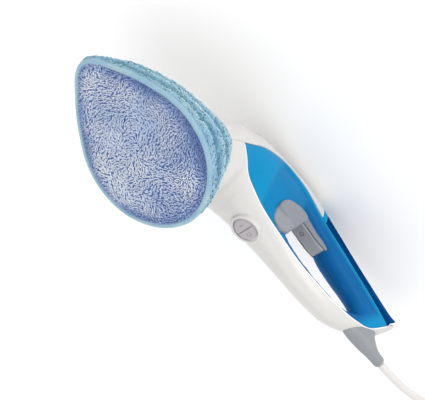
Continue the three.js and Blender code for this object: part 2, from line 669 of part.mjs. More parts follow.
function heatingElement() {
  const plan = [[112, 22], [80, 26], [52, 18], [42, 0], [52, -18], [80, -26], [112, -22]];
  return tube(plan.map(([x, y]) => [x, y, -23.2]), 2.6, 8, 22);
}
part("heating_element", heatingElement(), steel, head);
part("thermostat", bar("z", 8, [78, 0, -26.6], 6, 16), ceramic, head);
part("thermal_fuse", bar("x", 2, [98, 9, -22.8], 11, 10), ceramic, head);
part(
  "dosing_nozzle",
  turned([[0, -28.6], [3.2, -28.6], [3.2, -20.5], [0, -20.5]], 12).translate(122, 0, 0),
  steel,
  head,
);
const shieldPlate = new THREE.CylinderGeometry(1, 1, 1.2, 32).rotateX(Math.PI / 2).scale(44, 31, 1);
part("heat_shield", shieldPlate.translate(87, 0, -30.6), aluminium, head);

// ---- cord, coil, tie and plug, all on the surface under the steamer ----
const CORD_ROUTE = [
  [374.8, 0, 60.8], [384, 0, 61.4], [396, 0, 61.2], [409, 0, 59.3], [423.2, 0, 55.7], [435.6, 0, 50.9],
  [445.7, 0, 42.4], [452.7, 0, 29.7], [457.4, 0, 15.6], [461.2, 0, 3.8], [468.2, 0, -8.9], [478.3, 0, -17.4],
  [490.7, 0, -21.6], [502, 0, -22.3], [509, 0, -22.3],
];
const CORD_TAIL = [
  [489.6, 37.8, -7], [493.2, 26, -6.9], [503, 15.6, -6.4], [514, 9.2, -5.2], [526, 6.6, -3.4],
  [535, 8.6, -2.6], [540.8, 12, -2.5],
];
const TIE = { x0: 537, x1: 543, halfSpan: 15.9, wall: 1 };

// A strap round one side of the coil.
function cordTie() {
  const y = COIL.y + COIL.middle;
  const [low, high] = [COIL.low + TIE.wall, COIL.high + 0.3];
  const strap = block(
    TIE.x0, TIE.x1, y - TIE.halfSpan - TIE.wall, y + TIE.halfSpan + TIE.wall, low - TIE.wall, high + TIE.wall,
  );
  return strap.subtract(block(TIE.x0 - 1, TIE.x1 + 1, y - TIE.halfSpan, y + TIE.halfSpan, low, high));
}

function coilRing() {
  const { middle, halfWidth, low, high } = COIL;
  const profile = [
    [middle - halfWidth, low], [middle + halfWidth, low], [middle + halfWidth, high],
    [middle - halfWidth, high], [middle - halfWidth, low],
  ];
  const groove = block(TIE.x0 - 0.4, TIE.x1 + 0.4, COIL.y, COIL.y + 70, low - 4, low + TIE.wall + 0.3);
  return solid(turned(profile, 32).translate(COIL.x, COIL.y, 0)).subtract(groove);
}

function plug() {
  const { thickness, length, width, low } = PLUG;
  const sleeve = solid(bar("x", 5.4, [0, 0, low + thickness / 2], 24, 12));
  const [front, side] = [20 + length, width / 2];
  const outline = [[20, -8], [26, -side], [front, -side], [front, side], [26, side], [20, 8]];
  const body = new THREE.ExtrudeGeometry(shapeOf(outline), { depth: thickness, bevelEnabled: false });
  return sleeve.add(solid(body.translate(0, 0, low)));
}

const onCoil = new THREE.Group();
onCoil.position.set(PLUG.x, PLUG.y, 0);
onCoil.rotation.z = THREE.MathUtils.degToRad(PLUG.turn);
steamer.add(onCoil);
part("power_cord", tube(CORD_ROUTE, CORD_RADIUS, 10, 20), white);
part("cord_coil", coilRing(), white);
part("cord_tie", cordTie(), darkGrey);
part("cord_tail", tube(CORD_TAIL, CORD_RADIUS, 10, 9), white);
part("plug_body", plug(), white, onCoil);
[-9.5, 9.5].forEach((y, i) => {
  const foot = [20.3 + PLUG.length, y, PLUG.low + PLUG.thickness / 2];
  part(`plug_pin_${i + 1}`, bar("x", 2.2, foot, 19, 12), steel, onCoil);
});

export default steamer;
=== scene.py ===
"""A handheld garment steamer lying on its back, with a terry bonnet over its steam head."""
import random
from math import atan2, ceil, copysign, cos, hypot, pi, radians, sin, sqrt, tan

import bmesh
import bpy
import numpy as np
from mathutils import Matrix, Vector, noise


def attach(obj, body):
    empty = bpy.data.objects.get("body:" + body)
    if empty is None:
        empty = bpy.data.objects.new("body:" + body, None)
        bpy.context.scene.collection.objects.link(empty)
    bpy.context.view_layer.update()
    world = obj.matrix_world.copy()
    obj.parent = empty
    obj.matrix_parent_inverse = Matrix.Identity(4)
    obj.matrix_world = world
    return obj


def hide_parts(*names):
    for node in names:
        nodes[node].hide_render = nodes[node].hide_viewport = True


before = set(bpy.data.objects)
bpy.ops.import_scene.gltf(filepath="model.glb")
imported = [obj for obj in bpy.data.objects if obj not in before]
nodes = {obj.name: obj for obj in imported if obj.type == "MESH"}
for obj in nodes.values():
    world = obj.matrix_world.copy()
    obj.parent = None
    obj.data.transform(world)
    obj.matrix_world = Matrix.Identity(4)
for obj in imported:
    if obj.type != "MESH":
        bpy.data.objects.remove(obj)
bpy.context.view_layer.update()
MM = 0.001

# ---- the CAD's own axes and dimensions, in millimetres ----
LAND_MIDDLE, LAND_Z = 221.0, -26.0


def at(x, y, z):
    """A point of the part's drawing, in millimetres, placed in the row frame in metres."""
    return Vector((x - LAND_MIDDLE, y, z - LAND_Z)) * MM


HEAD_TIP = (4.8, 79.3)
HEAD_TILT = radians(13.3)
HEAD_SEAT = -12.0
WALL = 2.4
GAP = 0.3
BODY_START, BODY_END = 14.0, 369.0
TANK_START, COLLAR_END, TANK_END = 252.0, 258.0, 361.0
DOOR_START, DOOR_END = 329.3, 366.8
LEAF_TIP, LEAF_END = (146.4, 39.3), (360.4, 28.6)
ROCKER_X = 202.0
ROCKER_RADIUS = 10
ROCKER_OVAL = 1.15
SECTION_POWER = {"front": 2.5, "back": 2.0}


def smooth(knots):
    """A smooth curve through a few knots (x, value), as a function of x."""
    slopes = [(b[1] - a[1]) / (b[0] - a[0]) for a, b in zip(knots, knots[1:])]
    tangents = [slopes[0]]
    for i in range(1, len(knots) - 1):
        before, after = knots[i][0] - knots[i - 1][0], knots[i + 1][0] - knots[i][0]
        tangents.append((slopes[i - 1] * after + slopes[i] * before) / (before + after))
    tangents.append(slopes[-1])

    def value(x):
        x = min(max(x, knots[0][0]), knots[-1][0])
        i = max(0, next(k for k, knot in enumerate(knots) if knot[0] >= x) - 1)
        span = knots[i + 1][0] - knots[i][0]
        s = (x - knots[i][0]) / span
        rise = s * s * (3 - 2 * s)
        lean = tangents[i] * span * s * (1 - s) ** 2 - tangents[i + 1] * span * s * s * (1 - s)
        return knots[i][1] * (1 - rise) + knots[i + 1][1] * rise + lean

    return value


def ease(a, b, x):
    """0 before a, 1 after b, and smooth between."""
    t = min(max((x - a) / (b - a), 0.0), 1.0)
    return t * t * (3 - 2 * t)


back_line = smooth([
    (14, 65.6), (50, 48.3), (80, 36), (105, 22.5), (134, 2.5), (156, -11.5), (180, -20),
    (205, -24.4), (225, -25.8), (252, -22.2), (270, -17), (289, -11), (310, -4.6), (329, 1),
    (350, 7), (369, 13),
])
neck_front = smooth([
    (140, 101), (150, 98), (156, 90), (161, 76), (168, 70), (180, 68.5), (205, 69.5), (233, 72.5),
    (252, 75), (289, 77), (309, 74.5), (323, 68), (335, 60), (350, 48), (360, 36), (369, 20.5),
])
half_width = smooth([
    (14, 10), (20, 17), (35, 31), (50, 41), (80, 53), (105, 52), (125, 47), (140, 41), (155, 36),
    (180, 30), (205, 26), (233, 22), (252, 19), (290, 16.5), (330, 13.4), (350, 10.9), (362, 9.4),
    (366, 8.9), (369, 5.5),
])
leaf_front = smooth([
    (146.4, 39.3), (156.7, 47.3), (186, 55.7), (224, 60.8), (274, 64.4),
    (300, 63.9), (331, 55.6), (346.5, 46.5), (360.4, 28.6),
])
leaf_back = smooth([
    (146.4, 39.3), (163.9, 17.7), (180, 3.5), (200, -6.6), (215, -6.9),
    (244, -0.5), (302, 12.9), (340, 23.3), (360.4, 28.6),
])
handle_end = smooth([LEAF_END, (366.5, 21), (370, 17.8), (380, 14)])
seam = smooth([(107, 110), (118, 80), (131.7, 59.2), (138.8, 49.1), LEAF_TIP])


def seat_line(x):
    return HEAD_TIP[1] + (x - HEAD_TIP[0]) * tan(HEAD_TILT) + HEAD_SEAT / cos(HEAD_TILT)


def front_line(x):
    head = 2 * seat_line(x) - back_line(x)
    w = ease(120, 140, x)
    return (1 - w) * head + w * neck_front(max(x, 140))


def tank_line(x):
    return leaf_back(x) if x < LEAF_END[0] else handle_end(x)


def signed_power(c, exponent):
    return copysign(abs(c) ** exponent, c)


def section(x, angle, inset=0.0):
    """A point on the casing at x, round its cross-section from +Y (0) towards +Z (90 degrees)."""
    low, high = back_line(x) + inset, front_line(x) - inset
    bend = 2 / SECTION_POWER["back" if angle < 0 else "front"]
    y = (half_width(x) - inset) * signed_power(cos(angle), bend)
    z = (low + high) / 2 + (high - low) / 2 * signed_power(sin(angle), bend)
    return (x, y, z)


def angle_at(x, z, inset=0.0):
    """The angle at which the casing's cross-section at x reaches a height."""
    low, high = back_line(x) + inset, front_line(x) - inset
    s = min(max((z - (low + high) / 2) / ((high - low) / 2), -1.0), 1.0)
    up = signed_power(s, SECTION_POWER["back" if s < 0 else "front"] / 2)
    return atan2(up, sqrt(max(0.0, 1 - up * up)))


def side(x, z, inset=0.0):
    """How far out the casing's near side is at (x, z)."""
    return section(x, angle_at(x, z, inset), inset)[1]


# ---- camera ----
LEAN, TURN, ROLL = radians(49), radians(12), radians(47)
DISTANCE = 1.2
LENS = 119.6
to_camera = Vector((-sin(TURN), cos(LEAN) * cos(TURN), sin(LEAN) * cos(TURN)))
along = (Vector((1, 0, 0)) - to_camera * to_camera.x).normalized()
across = to_camera.cross(along)
right = along * cos(ROLL) + across * sin(ROLL)
up = across * cos(ROLL) - along * sin(ROLL)
look_at = at(175, 0, 45) - right * 0.0191 - up * 0.0085
camera = bpy.data.objects.new("camera", bpy.data.cameras.new("camera"))
camera.data.lens = LENS
camera.data.clip_end = 20
camera.matrix_world = Matrix.Translation(look_at + to_camera * DISTANCE) @ Matrix(
    (right, up, to_camera)
).transposed().to_4x4()
bpy.context.collection.objects.link(camera)
bpy.context.scene.camera = camera


# ---- materials ----
class Nodes:
    """A short way to write a node tree."""

    def __init__(self, name):
        self.material = bpy.data.materials.new(name)
        self.material.use_nodes = True
        self.tree = self.material.node_tree
        self.shader = self.tree.nodes["Principled BSDF"]
        self.place = self.add("ShaderNodeTexCoord").outputs["Object"]

    def add(self, kind, **settings):
        node = self.tree.nodes.new(kind)
        for key, value in settings.items():
            setattr(node, key, value)
        return node

    def link(self, output, socket):
        self.tree.links.new(output, socket)
        return output

    def noise(self, scale, detail=3.0, roughness=0.5, distortion=0.0):
        node = self.add("ShaderNodeTexNoise")
        self.link(self.place, node.inputs["Vector"])
        node.inputs["Scale"].default_value = scale
        node.inputs["Detail"].default_value = detail
        node.inputs["Roughness"].default_value = roughness
        node.inputs["Distortion"].default_value = distortion
        return node.outputs["Fac"]

    def ramp(self, value, stops):
        """A smooth colour scale: stops are (position, colour)."""
        node = self.add("ShaderNodeValToRGB")
        self.link(value, node.inputs["Fac"])
        while len(node.color_ramp.elements) < len(stops):
            node.color_ramp.elements.new(0.5)
        for element, (position, colour) in zip(node.color_ramp.elements, stops):
            element.position = position
            element.color = (*colour, 1)
        return node.outputs["Color"]

    def mix(self, factor, a, b, kind="MIX"):
        node = self.add("ShaderNodeMix", data_type="RGBA", blend_type=kind)
        if isinstance(factor, float):
            node.inputs["Factor"].default_value = factor
        else:
            self.link(factor, node.inputs["Factor"])
        for index, colour in ((6, a), (7, b)):
            if isinstance(colour, tuple):
                node.inputs[index].default_value = (*colour, 1)
            else:
                self.link(colour, node.inputs[index])
        return node.outputs[2]

    def scaled(self, value, low, high):
        node = self.add("ShaderNodeMapRange")
        self.link(value, node.inputs["Value"])
        node.inputs["To Min"].default_value = low
        node.inputs["To Max"].default_value = high
        return node.outputs["Result"]

    def bump(self, height, strength, distance):
        node = self.add("ShaderNodeBump")
        self.link(height, node.inputs["Height"])
        node.inputs["Strength"].default_value = strength
        node.inputs["Distance"].default_value = distance
        self.link(node.outputs["Normal"], self.shader.inputs["Normal"])

    def attribute(self, name):
        return self.add("ShaderNodeAttribute", attribute_name=name).outputs["Fac"]

    def set(self, **values):
        for name, value in values.items():
            self.shader.inputs[name.replace("_", " ")].default_value = value
        return self


def linear(text):
    """An sRGB colour written as six hex digits, made linear."""
    channels = [int(text[i : i + 2], 16) / 255 for i in (0, 2, 4)]
    return tuple(c / 12.92 if c < 0.04045 else ((c + 0.055) / 1.055) ** 2.4 for c in channels)


def shade(colour, by):
    return tuple(min(1.0, c * by) for c in colour)


def plastic(name, colour, roughness=0.35, grain=0.05, coat=0.0, variation=0.04):
    """Moulded plastic: slight colour drift, uneven gloss and a fine grain."""
    n = Nodes(name)
    tone = linear(colour)
    drift = n.noise(35, 4)
    tones = [(0.3, shade(tone, 1 - variation)), (0.7, shade(tone, 1 + variation))]
    n.link(n.ramp(drift, tones), n.shader.inputs["Base Color"])
    gloss = n.scaled(n.noise(220, 2), roughness - 0.04, roughness + 0.06)
    n.link(gloss, n.shader.inputs["Roughness"])
    n.bump(n.noise(2600, 2), grain, 0.0001)
    n.set(Coat_Weight=coat, Coat_Roughness=0.08)
    return n.material


def metal(name, colour, roughness=0.32):
    """Bare metal with fine brushing and smudges."""
    n = Nodes(name)
    tone = linear(colour)
    smudges = n.ramp(n.noise(90, 5), [(0.3, shade(tone, 0.85)), (0.75, tone)])
    n.link(smudges, n.shader.inputs["Base Color"])
    gloss = n.scaled(n.noise(400, 3), roughness - 0.08, roughness + 0.12)
    n.link(gloss, n.shader.inputs["Roughness"])
    n.bump(n.noise(1800, 2), 0.1, 0.0001)
    return n.set(Metallic=1.0).material


def panel_blue():
    """Blue plastic with little reflection: cyan round the raised rim, and a deeper blue painted
    into the dished grip and the finger hole as painted shade.
    """
    n = Nodes("panel_blue")
    drift = n.noise(30, 3)
    rim = n.ramp(drift, [(0.3, linear("0080B2")), (0.7, linear("0087B9"))])
    grip = n.ramp(drift, [(0.3, linear("005A96")), (0.7, linear("005F9B"))])
    # the depth attribute darkens the blue: painted shade in the dish and the finger hole
    n.link(n.mix(n.attribute("depth"), rim, grip), n.shader.inputs["Base Color"])
    n.link(n.scaled(n.noise(180, 2), 0.4, 0.48), n.shader.inputs["Roughness"])
    n.bump(n.noise(2400, 2), 0.03, 0.0001)
    return n.set(Specular_IOR_Level=0.1).material


def tinted(name, deep, clear):
    """Deeply tinted plastic without reflection, drifting between two tones."""
    n = Nodes(name)
    drift = n.ramp(n.noise(45, 3), [(0.3, linear(deep)), (0.7, linear(clear))])
    n.link(drift, n.shader.inputs["Base Color"])
    n.link(n.scaled(n.noise(150, 2), 0.3, 0.36), n.shader.inputs["Roughness"])
    n.bump(n.noise(1500, 2), 0.02, 0.0001)
    return n.set(Specular_IOR_Level=0.0).material


def cloth(name, low, middle, high, specks=None):
    """Looped cotton: painted shade between the loops and painted highlights at their tips."""
    n = Nodes(name)
    wild = n.noise(900, 3)
    # a per-point value of painted light and shade: low where shade would fall, high where light
    # would catch
    height = n.attribute("painted_light_and_shade")
    both = n.add("ShaderNodeMath", operation="ADD")
    n.link(height, both.inputs[0])
    n.link(n.scaled(wild, -0.3, 0.3), both.inputs[1])
    stops = [(0.05, linear(low)), (0.5, linear(middle)), (0.95, linear(high))]
    tone = n.ramp(both.outputs[0], stops)
    patches = n.ramp(n.noise(34, 3), [(0.35, (0.74, 0.84, 0.97)), (0.62, (1, 1, 1))])
    tone = n.mix(1.0, tone, patches, "MULTIPLY")
    if specks:
        spots = n.ramp(n.attribute("speck"), [(0.45, (0, 0, 0)), (0.55, (1, 1, 1))])
        tone = n.mix(spots, tone, linear(specks))
    n.link(tone, n.shader.inputs["Base Color"])
    n.bump(n.noise(3500, 2), 0.4, 0.0002)
    return n.set(Roughness=0.95, Sheen_Weight=0.35, Sheen_Roughness=0.5).material


white = plastic("white_plastic", "CBC9C6", 0.3, coat=0.15, variation=0.015)
ring_white = plastic("ring_plastic", "CBC9C7", 0.3, coat=0.1, variation=0.02)
blue = panel_blue()
navy = tinted("tank_navy", "023465", "033B6E")
door_blue = tinted("door_blue", "083F76", "0A4680")
cyan = tinted("collar_cyan", "1888BC", "2296C8")
light_grey = plastic("hood_grey", "80828A", 0.42)
dark_grey = plastic("trigger_grey", "9C9EA1", 0.45)
rocker_grey = plastic("rocker_grey", "ABA6AA", 0.4)
boot_grey = plastic("boot_grey", "868A8E", 0.5, grain=0.12)
ink = plastic("mark_grey", "767377", 0.5)
dark_ink = plastic("mark_dark", "4C5056", 0.5)
cord_white = plastic("cord_white", "D2CFCC", 0.38, grain=0.08)
plug_white = plastic("plug_white", "EEECEA", 0.35)
rubber = plastic("dark_rubber", "4A4D52", 0.7, grain=0.15)
ceramic = plastic("pale_plastic", "E9E6DC", 0.6)
copper = plastic("wire_sheath", "B06A3A", 0.5)
steel = metal("bright_steel", "C4C6C8")
aluminium = metal("cast_aluminium", "B8BABD", 0.4)
face_cloth = cloth("face_terry", "4A66A6", "97AFD8", "F6F8FD")
skirt_cloth = cloth("skirt_terry", "5A90A4", "98C2CF", "D2E5EB", specks="3F7D95")
ribbed = cloth("binding_rib", "6491A0", "8BAEBB", "B2CBD3")


# ---- meshes ----
def piece(name, points, faces, material, body="handset", sharp=35, values=None):
    """A named mesh that rides on a body, smooth but for its sharp edges."""
    mesh = bpy.data.meshes.new(name)
    mesh.from_pydata([tuple(p) for p in points], [], faces)
    mesh.validate()
    for key, numbers in (values or {}).items():
        mesh.attributes.new(key, "FLOAT", "POINT").data.foreach_set("value", numbers)
    edit = bmesh.new()
    edit.from_mesh(mesh)
    bmesh.ops.remove_doubles(edit, verts=edit.verts, dist=2e-6)
    bmesh.ops.recalc_face_normals(edit, faces=edit.faces)
    edit.to_mesh(mesh)
    edit.free()
    mesh.shade_smooth()
    mesh.set_sharp_from_angle(angle=radians(sharp))
    mesh.materials.append(material)
    obj = bpy.data.objects.new(name, mesh)
    bpy.context.collection.objects.link(obj)
    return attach(obj, body)


def grid_faces(rows, columns, offset=0, closed=False, flip=False):
    """Quads between rows of equally many points; closed joins each row's end to its start."""
    faces = []
    for i in range(rows - 1):
        for j in range(columns if closed else columns - 1):
            k = (j + 1) % columns
            a, b = offset + i * columns, offset + (i + 1) * columns
            quad = (a + j, a + k, b + k, b + j)
            faces.append(quad[::-1] if flip else quad)
    return faces


def both_sides(rows):
    """Rows of near-side points and their mirror, with the faces of both."""
    columns = len(rows[0])
    near = [p for row in rows for p in row]
    far = [Vector((p.x, -p.y, p.z)) for p in near]
    faces = grid_faces(len(rows), columns) + grid_faces(len(rows), columns, len(near), flip=True)
    return near + far, faces


def thicken(obj, thickness, edge=0.5):
    """A wall of a thickness in millimetres, inwards, with its rims rounded over."""
    wall = obj.modifiers.new("wall", "SOLIDIFY")
    wall.thickness = thickness * MM
    wall.offset = -1.0
    wall.use_even_offset = True
    round_edges(obj, edge)
    return obj


def round_edges(obj, width, segments=3, angle=40):
    if width:
        bevel = obj.modifiers.new("rounded", "BEVEL")
        bevel.width = width * MM
        bevel.segments = segments
        bevel.limit_method = "ANGLE"
        bevel.angle_limit = radians(angle)
        bevel.harden_normals = True
    return obj


def spread(a, b, count):
    return [a + (b - a) * i / count for i in range(count + 1)]


def shell(name, stations, low, high, columns, material, thickness, inset=0.0, body="handset"):
    """A moulded wall that follows the casing between two lines of angle, low(x) and high(x)."""
    rows = [[at(*section(x, a, inset)) for a in spread(low(x), high(x), columns)] for x in stations]
    points, faces = both_sides(rows)
    return thicken(piece(name, points, faces, material, body), thickness)


def slab(name, outline, material, y0, y1, body="handset", rounding=1.0):
    """A side outline [x, z] given a width from y0 to y1."""
    count = len(outline)
    points = [at(x, y, z) for y in (y0, y1) for x, z in outline]
    faces = [tuple(range(count)), tuple(range(2 * count - 1, count - 1, -1))]
    faces += [(i, (i + 1) % count, count + (i + 1) % count, count + i) for i in range(count)]
    return round_edges(piece(name, points, faces, material, body), rounding)


def turned(name, profile, centre, material, body="handset", sides=64, oval=1.0):
    """A piece turned about a Z axis from its profile [radius, z]; oval lengthens it along X."""
    turns = [2 * pi * k / sides for k in range(sides)]
    rows = [[at(centre + oval * r * cos(a), r * sin(a), z) for a in turns] for r, z in profile]
    points = [p for row in rows for p in row]
    return piece(name, points, grid_faces(len(rows), sides, closed=True), material, body)


def ring_loft(name, rings, material, body="handset", capped=True, sharp=35):
    """A skin over rings of equally many points."""
    sides = len(rings[0])
    points = [p for ring in rings for p in ring]
    faces = grid_faces(len(rings), sides, closed=True)
    if capped:
        faces += [tuple(range(sides)), tuple(range(len(points) - sides, len(points)))]
    return piece(name, points, faces, material, body, sharp)


def wire(name, points, radius, material, body="handset", closed=False):
    """A round wire or line along points already in the row frame."""
    curve = bpy.data.curves.new(name, "CURVE")
    curve.dimensions = "3D"
    curve.bevel_depth = radius * MM
    curve.bevel_resolution = 4
    curve.use_fill_caps = True
    spline = curve.splines.new("NURBS")
    spline.points.add(len(points) - 1)
    for target, p in zip(spline.points, points):
        target.co = (*p, 1)
    spline.order_u = 4
    spline.use_endpoint_u = not closed
    spline.use_cyclic_u = closed
    curve.materials.append(material)
    obj = bpy.data.objects.new(name, curve)
    bpy.context.collection.objects.link(obj)
    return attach(obj, body)


# ---- cord, its tie and its plug ----
CORD_RADIUS = 3.5
CORD_ROUTE = [
    (374.8, 0, 60.8), (384, 0, 61.4), (396, 0, 61.2), (409, 0, 59.3), (423.2, 0, 55.7),
    (435.6, 0, 50.9), (445.7, 0, 42.4), (452.7, 0, 29.7), (457.4, 0, 15.6), (461.2, 0, 3.8),
    (468.2, 0, -8.9), (478.3, 0, -17.4), (490.7, 0, -21.6), (502, 0, -22.3),
    (514, -0.2, -22.3), (526, -0.5, -22.2),
]
CORD_TAIL = [
    (489.6, 37.8, -7), (493.2, 26, -6.9), (503, 15.6, -6.4), (514, 9.2, -5.2), (526, 6.6, -3.4),
    (535, 8.6, -2.6), (545, 15, -2.5),
]
COIL_CENTRE = (540, 52.5)
COIL_OUTER, COIL_INNER = 52.9, 31.0
COIL_FLOOR, COIL_UPPER, COIL_TOP = -22.2, -15.0, -7.1
COIL_TURNS = 7.78
PER_TURN = 20


def coil_points():
    """Two layers of turns: inwards along the floor, up, outwards again, then up onto the coil."""
    points = []
    for k in range(round(COIL_TURNS * PER_TURN) + 1):
        turn = k / PER_TURN
        inwards = COIL_OUTER - (COIL_OUTER - COIL_INNER) * min(turn / 3, 1)
        outwards = (COIL_OUTER - COIL_INNER) * min(max((turn - 4) / 3, 0), 1)
        radius = inwards + outwards
        height = COIL_FLOOR + (COIL_UPPER - COIL_FLOOR) * ease(3, 3.3, turn)
        height += (COIL_TOP - COIL_UPPER) * ease(7.45, 7.75, turn)
        a = 2 * pi * (turn - 0.25)
        points.append((COIL_CENTRE[0] + radius * cos(a), COIL_CENTRE[1] + radius * sin(a), height))
    return points


route = [at(*p) for p in CORD_ROUTE + coil_points() + CORD_TAIL[1:]]
cord = wire("mains_cord", route, CORD_RADIUS, cord_white)
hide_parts("power_cord", "cord_coil", "cord_tail")

PLUG = (541.5, 12.5)
PLUG_TURN = radians(36)
PLUG_THICK = 15.5
PLUG_MIDDLE = -10.2 + PLUG_THICK / 2


def plug_point(u, v, w):
    """u along the plug from its sleeve, v across it and w above its middle."""
    x = PLUG[0] + u * cos(PLUG_TURN) - v * sin(PLUG_TURN)
    y = PLUG[1] + u * sin(PLUG_TURN) + v * cos(PLUG_TURN)
    return at(x, y, PLUG_MIDDLE + w)


def plug_rings():
    """The moulded plug: a ribbed sleeve that widens into a flat grip."""
    stations = [(0, 4.2, 4.2), (0.6, 5.2, 5.2)]
    for k in range(6):
        rib = 2.6 * k
        stations += [(1.6 + rib, 5.2, 5.2), (2.2 + rib, 4.4, 4.4),
                     (3.0 + rib, 4.4, 4.4), (3.6 + rib, 5.2, 5.2)]
    stations += [(20, 7, 6.4), (24, 12, 7.2), (29, 16, 7.6), (38, 16.2, 7.7), (46, 14.6, 7.1),
                 (52, 16.6, 7.7), (55.2, 16.8, 7.7), (56, 16, 7)]
    sides = 40
    rings = []
    for u, wide, high in stations:
        power = 2 / (2 + 1.6 * ease(18, 26, u))
        rings.append([
            plug_point(u, wide * signed_power(cos(2 * pi * k / sides), power),
                       high * signed_power(sin(2 * pi * k / sides), power))
            for k in range(sides)
        ])
    return rings


plug = ring_loft("plug_grip", plug_rings(), plug_white, sharp=50)
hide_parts("plug_body")

TIE_START, TIE_END = 537.2, 542.8
TIE_MIDDLE_Y, TIE_MIDDLE_Z = COIL_CENTRE[1] + 42, -18
TIE_HALF, TIE_TOP, TIE_BOTTOM, TIE_CORNER = 14.6, 12.1 - 25, -23.2, 1.6
TIE_THICK = 0.9
TIE_CORNERS = (
    (TIE_HALF, TIE_TOP, 0), (-TIE_HALF, TIE_TOP, 90),
    (-TIE_HALF, TIE_BOTTOM, 180), (TIE_HALF, TIE_BOTTOM, 270),
)
tie_outline = []
for corner_y, corner_z, start in TIE_CORNERS:
    for step in range(5):
        a = radians(start + 22.5 * step)
        tie_outline.append((corner_y + TIE_CORNER * cos(a), corner_z + TIE_CORNER * sin(a)))


def tie_ring(x, grow):
    """The tie's rounded outline at x, grown outwards."""
    return [
        at(x, TIE_MIDDLE_Y + y + copysign(grow, y), z + (grow if z > TIE_MIDDLE_Z else -grow))
        for y, z in tie_outline
    ]


tie_rings = [
    tie_ring(TIE_START, 0), tie_ring(TIE_END, 0),
    tie_ring(TIE_END, TIE_THICK), tie_ring(TIE_START, TIE_THICK),
]
tie = ring_loft("velcro_tie", tie_rings + tie_rings[:1], rubber, capped=False)
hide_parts("cord_tie")

# ---- casing ----
BOTTOM = -pi / 2
LINE = 0.15  # half of the fine gap at a parting line


def back_high(x):
    """Where the back cover stops: at the head's seat, the seam or the leaf."""
    limit = min(seat_line(x), seam(x) if x > 107 else 999)
    if x > LEAF_TIP[0]:
        limit = leaf_back(x)
    return angle_at(x, limit - LINE)


def from_bottom(x):
    """The casing's lowest line, where its cross-section starts."""
    return BOTTOM


back_stations = (
    spread(BODY_START, 104, 26) + spread(106, 150, 36) + spread(152, TANK_START - GAP, 44)
)
cover = shell("back_cover_shell", back_stations, from_bottom, back_high, 40, white, WALL)
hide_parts("back_cover")


def front_low(x):
    """Where the front housing starts: at the seam, the leaf or the handle's end."""
    if x < LEAF_TIP[0]:
        return angle_at(x, seam(x) + LINE)
    if x < LEAF_END[0]:
        return angle_at(x, leaf_front(x) + LINE)
    return angle_at(x, handle_end(x))


def front_high(x):
    return angle_at(x, min(seat_line(x), front_line(x)))


front_stations = (
    spread(115, 150, 34) + spread(151, 176, 24) + spread(178, 354, 90) + spread(355, BODY_END, 24)
)
housing = shell(
    "front_housing_shell", front_stations, front_low, front_high, 34, white, WALL
)
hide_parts("front_housing")

# a lip where the housing meets the leaf's front edge, in a paler white than the housing as a
# painted highlight
lip_line = [(x, leaf_front(x) + 0.75) for x in spread(LEAF_TIP[0] + 1.5, 352, 70)]
lip_line += [
    (x, leaf_front(min(x, LEAF_END[0] - 0.2)) + 0.9) for x in spread(353, LEAF_END[0] - 0.6, 8)
]
lip_path = [at(x, side(x, z) - 0.1, z) for x, z in lip_line]
lip_painted_highlight = plastic("lip_painted_highlight", "F2F1F0", 0.3, variation=0.01)
for lip_name, mirror in (("leaf_lip_left", 1), ("leaf_lip_right", -1)):
    lip = wire(lip_name, [Vector((p.x, mirror * p.y, p.z)) for p in lip_path], 0.5, lip_painted_highlight)

# ---- blue grip panels ----
HOLE = [
    (238.5, 9), (256, 15.2), (268, 18.4), (280, 25), (298, 31), (314, 35.2), (324, 39.5),
    (328, 45.5), (323.5, 52), (310, 58.8), (285, 61.2), (252, 58.6), (228, 53.9), (233, 43),
    (235.6, 26),
]


PER_SPAN = 12


def closed_spline(points, per_span=PER_SPAN):
    """A smooth closed outline through points, as many points."""
    out = []
    count = len(points)
    for i in range(count):
        p0, p1, p2, p3 = (Vector(points[(i + k) % count]) for k in (-1, 0, 1, 2))
        for k in range(per_span):
            t = k / per_span
            a = p1 * 2 + (p2 - p0) * t + (p0 * 2 - p1 * 5 + p2 * 4 - p3) * t * t
            out.append((a + (p1 * 3 - p0 - p2 * 3 + p3) * t ** 3) / 2)
    return out


def resample(line, count):
    """Evenly spaced points along an open line."""
    lengths = [0.0]
    for a, b in zip(line, line[1:]):
        lengths.append(lengths[-1] + (b - a).length)
    out = []
    j = 0
    for k in range(count + 1):
        want = lengths[-1] * k / count
        while j < len(line) - 2 and lengths[j + 1] < want:
            j += 1
        step = lengths[j + 1] - lengths[j]
        out.append(line[j].lerp(line[j + 1], (want - lengths[j]) / step if step else 0))
    return out


hole_outline = closed_spline(HOLE)
hole_points = np.array([tuple(p) for p in hole_outline])


def from_hole(x, z):
    return float(np.min(np.hypot(hole_points[:, 0] - x, hole_points[:, 1] - z)))


def dish(x, z):
    """0 on the panel's raised rim, 1 down in the dished grip."""
    edge = 189.5 + 4 * ((z - 25) / 25) ** 2
    start = ease(edge - 2.2, edge + 2.2, x)
    back = ease(1.0, 4.5, z - leaf_back(x))
    end = 1 - ease(338, 352, x + 0.5 * (z - 30))
    front = ease(0.5, 4.0, leaf_front(x) - z) if x < 232 else 1.0
    return start * back * end * front


def line_of(f, x0, x1, count=60):
    return [Vector((x, f(x))) for x in spread(x0, x1, count)]


def pick(i, j):
    """The part of the hole's outline from one corner to another, as it is listed."""
    count = len(hole_outline)
    a, b = i * PER_SPAN, j * PER_SPAN
    if b <= a:
        b += count
    return [hole_outline[k % count] for k in range(a, b + 1)]


